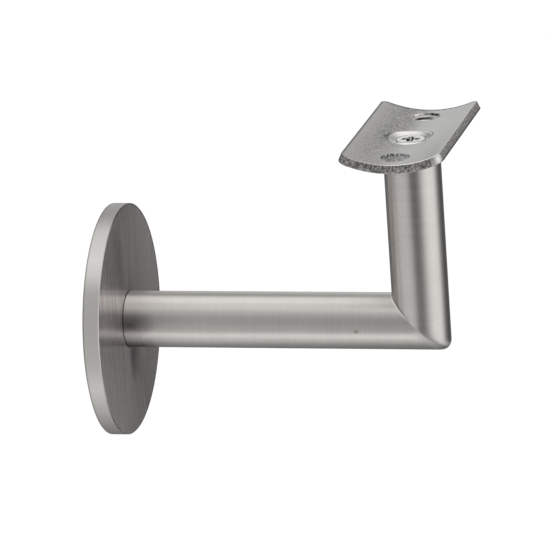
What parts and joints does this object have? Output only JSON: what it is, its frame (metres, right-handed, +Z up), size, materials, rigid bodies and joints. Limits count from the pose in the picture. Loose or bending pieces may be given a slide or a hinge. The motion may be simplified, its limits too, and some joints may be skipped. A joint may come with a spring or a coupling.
{
  "type": "handrail bracket",
  "caption": "Wall bracket for a round handrail: mitred tube arm, round cover over its wall flange, and a curved saddle plate screwed on top.",
  "frame": {"origin": "centre of the wall face, on the arm's axis", "axes": "+X out of the wall along the arm, +Y along the handrail, +Z up towards the saddle"},
  "size_m": [0.1235, 0.078, 0.1061],
  "materials": {
    "flange_steel": "plain mill finish stainless steel, hidden behind the cover",
    "cover_steel": "satin stainless steel, brushed in one direction across the face and round the rim",
    "tube_steel": "satin stainless steel, brushed round the tube",
    "plug_steel": "turned stainless steel",
    "saddle_steel": "rolled stainless plate with coarse dark cut edges",
    "screw_steel": "bright stainless machine screw"
  },
  "bodies": {
    "root": {"wall_flange": "flange_steel", "wall_cover": "cover_steel", "arm_tube": "tube_steel", "upright_tube": "tube_steel", "threaded_plug": "plug_steel", "saddle_plate": "saddle_steel", "saddle_screw": "screw_steel"}
  },
  "joints": []
}
